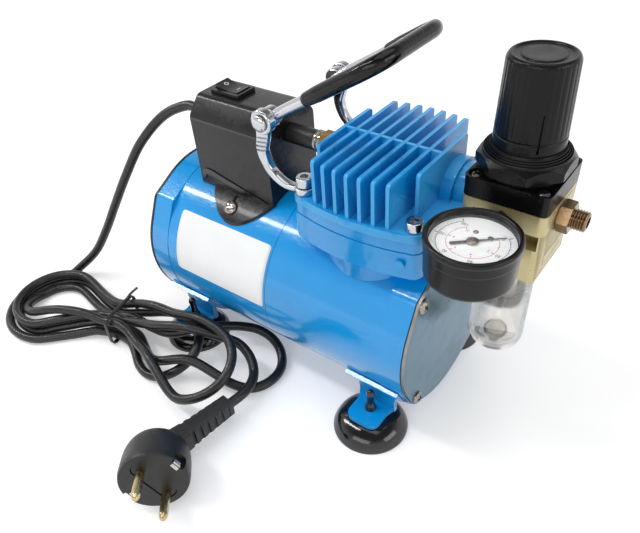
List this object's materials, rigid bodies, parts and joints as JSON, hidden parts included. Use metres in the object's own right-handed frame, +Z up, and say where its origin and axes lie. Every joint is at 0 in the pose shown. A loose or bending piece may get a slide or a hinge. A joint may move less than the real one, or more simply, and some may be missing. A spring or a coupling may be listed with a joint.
{
  "type": "airbrush compressor",
  "caption": "Small oil-free piston compressor for airbrushes with a finned head, carry handle, pressure regulator, water trap, gauge, suction feet and a mains lead.",
  "frame": {"origin": "on the floor under the middle of the machine, measured without its mains lead", "axes": "+X from the motor end to the air outlet, +Y to the rear, +Z up"},
  "size_m": [0.3623, 0.2416, 0.2103],
  "materials": {
    "blue_paint": "glossy azure paint",
    "black_plastic": "satin moulded plastic",
    "box_plastic": "near-black satin",
    "rubber": "glossy black rubber",
    "steel": "plain steel",
    "chrome": "bright plating",
    "brass": "machined brass",
    "bronze": "machined bronze-coloured brass",
    "gold_anodised": "champagne anodised",
    "cover_plate": "blue-grey sheet with a bare edge",
    "iron": "dark iron",
    "copper": "enamelled copper wire",
    "alloy": "cast aluminium",
    "clear_plastic": "clear polycarbonate",
    "dial_face": "white printed face",
    "filter_felt": "white sintered felt",
    "cable_sheath": "satin black sheath"
  },
  "bodies": {
    "machine": {"motor_housing": "blue_paint", "crankcase_housing": "blue_paint", "end_plate": "cover_plate", "rear_cover": "black_plastic", "front_bearing": "steel", "rear_bearing": "steel", "rear_bearing_bracket": "alloy", "stator": "iron", "stator_windings": "copper", "cylinder": "blue_paint", "valve_plate": "blue_paint", "intake_reed": "steel", "outlet_reed": "steel", "cylinder_head": "blue_paint", "head_bolt_front_left": "chrome", "head_bolt_front_right": "chrome", "head_bolt_rear_right": "chrome", "head_bolt_rear_left": "chrome", "suction_cup_front_left": "rubber", "suction_cup_front_right": "rubber", "suction_cup_rear_right": "rubber", "suction_cup_rear_left": "rubber", "foot_bracket_front_left": "blue_paint", "foot_bracket_front_right": "blue_paint", "foot_bracket_rear_right": "blue_paint", "foot_bracket_rear_left": "blue_paint", "handle_bracket_front": "chrome", "handle_bracket_rear": "chrome", "switch_box": "box_plastic", "switch_body": "black_plastic", "pressure_switch": "black_plastic", "brass_fitting": "brass", "cord_gland": "black_plastic", "regulator_body": "gold_anodised", "regulator_bonnet": "black_plastic", "panel_nut": "black_plastic", "inlet_nipple": "brass", "outlet_nipple": "bronze", "filter_bowl": "clear_plastic", "filter_element": "filter_felt", "gauge_case": "black_plastic", "gauge_dial": "dial_face", "gauge_lens": "clear_plastic", "cord_hank": "cable_sheath", "cord_lead": "cable_sheath", "cord_tie": "black_plastic", "plug_body": "cable_sheath", "plug_pins": "brass"},
    "handle": {"handle_bail": "chrome", "grip_sleeve": "rubber"},
    "rocker": {"switch_rocker": "black_plastic"},
    "spindle": {"adjusting_spindle": "steel"},
    "knob": {"regulator_knob": "black_plastic"},
    "needle": {"gauge_needle": "black_plastic"},
    "crankshaft": {"motor_shaft": "steel", "rotor": "alloy", "cooling_fan": "black_plastic", "crank": "iron"},
    "piston": {"rocking_piston": "alloy"},
    "drain": {"drain_valve": "black_plastic"}
  },
  "joints": [
    {"name": "handle_fold", "type": "hinge", "parent": "machine", "child": "handle", "pos_m": [-0.0246, 0, 0.1689], "axis": [0, 1, 0], "range_deg": [-148, 33]},
    {"name": "switch_rock", "type": "hinge", "parent": "machine", "child": "rocker", "pos_m": [-0.0764, 0, 0.162], "axis": [0, 1, 0], "range_deg": [-14, 0]},
    {"name": "knob_turn", "type": "hinge", "parent": "machine", "child": "spindle", "pos_m": [0.0895, 0.012, 0.15], "axis": [0, 0, 1], "range_deg": [-540, 540]},
    {"name": "knob_lift", "type": "slide", "parent": "spindle", "child": "knob", "axis": [0, 0, 1], "range_m": [0, 0.003]},
    {"name": "needle_turn", "type": "hinge", "parent": "machine", "child": "needle", "pos_m": [0.0895, -0.0369, 0.144], "axis": [0, 0, 1], "range_deg": [-270, 0]},
    {"name": "shaft_spin", "type": "hinge", "parent": "machine", "child": "crankshaft", "pos_m": [-0.0262, 0, 0.0607], "axis": [1, 0, 0], "continuous": true},
    {"name": "piston_slide", "type": "slide", "parent": "machine", "child": "piston", "axis": [0, 0, 1], "range_m": [-0.012, 0]},
    {"name": "drain_push", "type": "slide", "parent": "machine", "child": "drain", "axis": [0, 0, 1], "range_m": [0, 0.002], "stiffness_N_per_m": 300}
  ]
}
